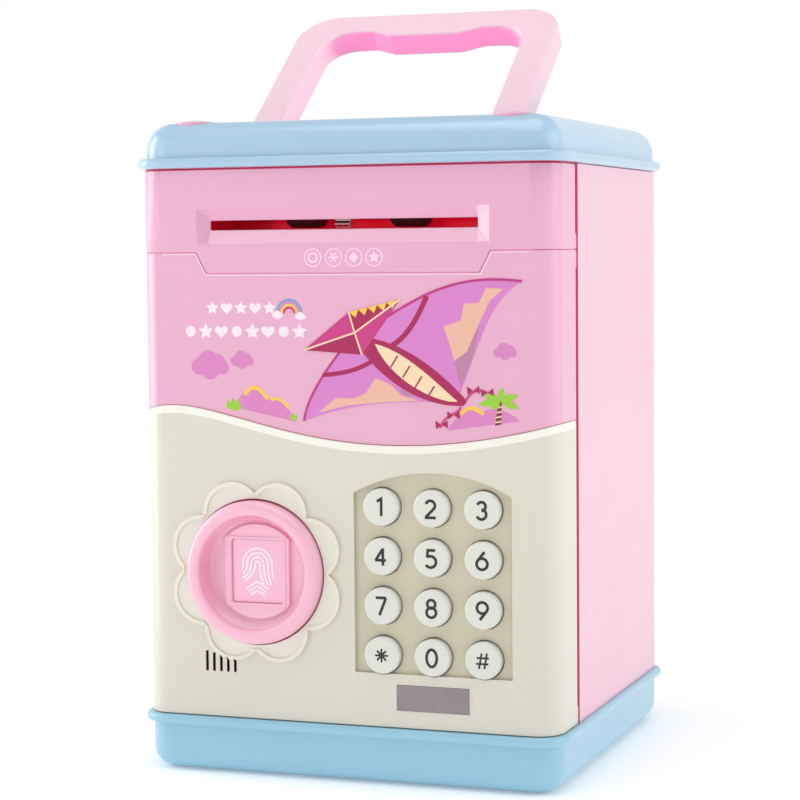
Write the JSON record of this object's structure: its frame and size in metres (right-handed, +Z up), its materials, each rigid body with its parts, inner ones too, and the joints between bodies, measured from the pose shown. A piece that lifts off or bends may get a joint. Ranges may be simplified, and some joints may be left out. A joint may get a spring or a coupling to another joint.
{
  "type": "toy safe coin bank",
  "caption": "Box-shaped toy safe with a hinged keypad door, turning lock knob, motor-driven bill slot, blue lid and base, and a folding carry handle.",
  "frame": {"origin": "centre of the flat bottom face of the base tray", "axes": "+Z up, -Y towards the front (door side), +X to the right as seen from the front"},
  "size_m": [0.134, 0.1305, 0.2326],
  "materials": {
    "baby_blue_plastic": "baby blue moulded ABS, satin gloss",
    "pale_pink_plastic": "pale pink moulded ABS, satin gloss",
    "pink_plastic": "pink moulded ABS, satin gloss",
    "cream_plastic": "cream moulded ABS, satin gloss",
    "white_plastic": "white moulded plastic",
    "key_white": "glossy white keys with printed digits",
    "red_plastic": "deep red moulded plastic",
    "black_plastic": "black moulded plastic",
    "black_rubber": "black rubber",
    "silicone": "translucent grey silicone",
    "steel": "zinc-plated steel",
    "window_smoke": "smoky mauve acrylic window",
    "circuit_board": "green circuit board",
    "led_lens": "diffused LED lens",
    "cell_jacket": "printed battery jacket, plain"
  },
  "bodies": {
    "safe": {"base_tray": "baby_blue_plastic", "battery_box": "black_plastic", "battery_cover": "baby_blue_plastic", "battery_cells": "cell_jacket", "battery_contacts": "steel", "battery_cover_screw": "steel", "chamber_floor": "pale_pink_plastic", "base_screws": "steel", "body_shell": "pale_pink_plastic", "strike_plate": "steel", "upper_front_panel": "pink_plastic", "feeder_housing": "red_plastic", "feeder_screws": "steel", "feeder_motor": "steel", "drive_belt": "black_rubber", "bill_switch": "black_plastic", "lid": "baby_blue_plastic", "lid_screws": "steel", "screw_caps": "pink_plastic", "handle_pins": "steel", "hinge_pins": "steel"},
    "door": {"door_front": "cream_plastic", "door_print_panel": "pink_plastic", "door_back_cover": "white_plastic", "door_screws": "steel", "keypad_board": "circuit_board", "key_membrane": "silicone", "led_window": "window_smoke", "status_leds": "led_lens", "speaker": "black_plastic", "speaker_magnet": "steel", "control_board": "circuit_board", "board_parts": "black_plastic", "lock_solenoid": "steel"},
    "lock_knob": {"knob": "pink_plastic", "lock_disc": "white_plastic", "latch_tongue": "steel", "tongue_screw": "steel"},
    "pad": {"fingerprint_pad": "pale_pink_plastic"},
    "plunger": {"lock_plunger": "steel"},
    "carry_handle": {"handle": "pink_plastic"},
    "roller": {"roller_shaft": "steel", "feed_rollers": "black_rubber", "shaft_pulley": "white_plastic"},
    "motor_shaft": {"motor_pulley": "white_plastic"},
    "lever": {"switch_lever": "steel"},
    "flap": {"bill_flap": "red_plastic"},
    "key_1_body": {"key_1": "key_white"},
    "key_2_body": {"key_2": "key_white"},
    "key_3_body": {"key_3": "key_white"},
    "key_4_body": {"key_4": "key_white"},
    "key_5_body": {"key_5": "key_white"},
    "key_6_body": {"key_6": "key_white"},
    "key_7_body": {"key_7": "key_white"},
    "key_8_body": {"key_8": "key_white"},
    "key_9_body": {"key_9": "key_white"},
    "key_star_body": {"key_star": "key_white"},
    "key_0_body": {"key_0": "key_white"},
    "key_hash_body": {"key_hash": "key_white"}
  },
  "joints": [
    {"name": "door_hinge", "type": "hinge", "parent": "safe", "child": "door", "pos_m": [0.064, -0.041, 0.087], "axis": [0, 0, 1], "range_deg": [0, 90]},
    {"name": "knob_turn", "type": "hinge", "parent": "door", "child": "lock_knob", "pos_m": [-0.0276, -0.06, 0.0615], "axis": [0, -1, 0], "range_deg": [0, 90]},
    {"name": "pad_press", "type": "slide", "parent": "lock_knob", "child": "pad", "axis": [0, 1, 0], "range_m": [0, 0.0006], "stiffness_N_per_m": 300},
    {"name": "plunger_slide", "type": "slide", "parent": "door", "child": "plunger", "axis": [0, 0, -1], "range_m": [0, 0.0034]},
    {"name": "handle_fold", "type": "hinge", "parent": "safe", "child": "carry_handle", "pos_m": [0, -0.02485, 0.1898], "axis": [1, 0, 0], "range_deg": [-37.5, 52]},
    {"name": "roller_spin", "type": "hinge", "parent": "safe", "child": "roller", "pos_m": [0, -0.046, 0.1697], "axis": [1, 0, 0], "continuous": true},
    {"name": "motor_spin", "type": "hinge", "parent": "safe", "child": "motor_shaft", "pos_m": [0.038, -0.026, 0.1753], "axis": [1, 0, 0], "continuous": true},
    {"name": "lever_trip", "type": "hinge", "parent": "safe", "child": "lever", "pos_m": [-0.0025, -0.052, 0.169], "axis": [1, 0, 0], "range_deg": [0, 35], "stiffness_Nm_per_rad": 0.0005},
    {"name": "flap_swing", "type": "hinge", "parent": "safe", "child": "flap", "pos_m": [0, -0.0374, 0.1651], "axis": [1, 0, 0], "range_deg": [0, 70]},
    {"name": "key_1_press", "type": "slide", "parent": "door", "child": "key_1_body", "axis": [0, 1, 0], "range_m": [0, 0.0015], "stiffness_N_per_m": 250},
    {"name": "key_2_press", "type": "slide", "parent": "door", "child": "key_2_body", "axis": [0, 1, 0], "range_m": [0, 0.0015], "stiffness_N_per_m": 250},
    {"name": "key_3_press", "type": "slide", "parent": "door", "child": "key_3_body", "axis": [0, 1, 0], "range_m": [0, 0.0015], "stiffness_N_per_m": 250},
    {"name": "key_4_press", "type": "slide", "parent": "door", "child": "key_4_body", "axis": [0, 1, 0], "range_m": [0, 0.0015], "stiffness_N_per_m": 250},
    {"name": "key_5_press", "type": "slide", "parent": "door", "child": "key_5_body", "axis": [0, 1, 0], "range_m": [0, 0.0015], "stiffness_N_per_m": 250},
    {"name": "key_6_press", "type": "slide", "parent": "door", "child": "key_6_body", "axis": [0, 1, 0], "range_m": [0, 0.0015], "stiffness_N_per_m": 250},
    {"name": "key_7_press", "type": "slide", "parent": "door", "child": "key_7_body", "axis": [0, 1, 0], "range_m": [0, 0.0015], "stiffness_N_per_m": 250},
    {"name": "key_8_press", "type": "slide", "parent": "door", "child": "key_8_body", "axis": [0, 1, 0], "range_m": [0, 0.0015], "stiffness_N_per_m": 250},
    {"name": "key_9_press", "type": "slide", "parent": "door", "child": "key_9_body", "axis": [0, 1, 0], "range_m": [0, 0.0015], "stiffness_N_per_m": 250},
    {"name": "key_star_press", "type": "slide", "parent": "door", "child": "key_star_body", "axis": [0, 1, 0], "range_m": [0, 0.0015], "stiffness_N_per_m": 250},
    {"name": "key_0_press", "type": "slide", "parent": "door", "child": "key_0_body", "axis": [0, 1, 0], "range_m": [0, 0.0015], "stiffness_N_per_m": 250},
    {"name": "key_hash_press", "type": "slide", "parent": "door", "child": "key_hash_body", "axis": [0, 1, 0], "range_m": [0, 0.0015], "stiffness_N_per_m": 250}
  ],
  "couplings": [
    {"joint": "motor_spin", "follows": "roller_spin", "ratio": 1.5}
  ]
}
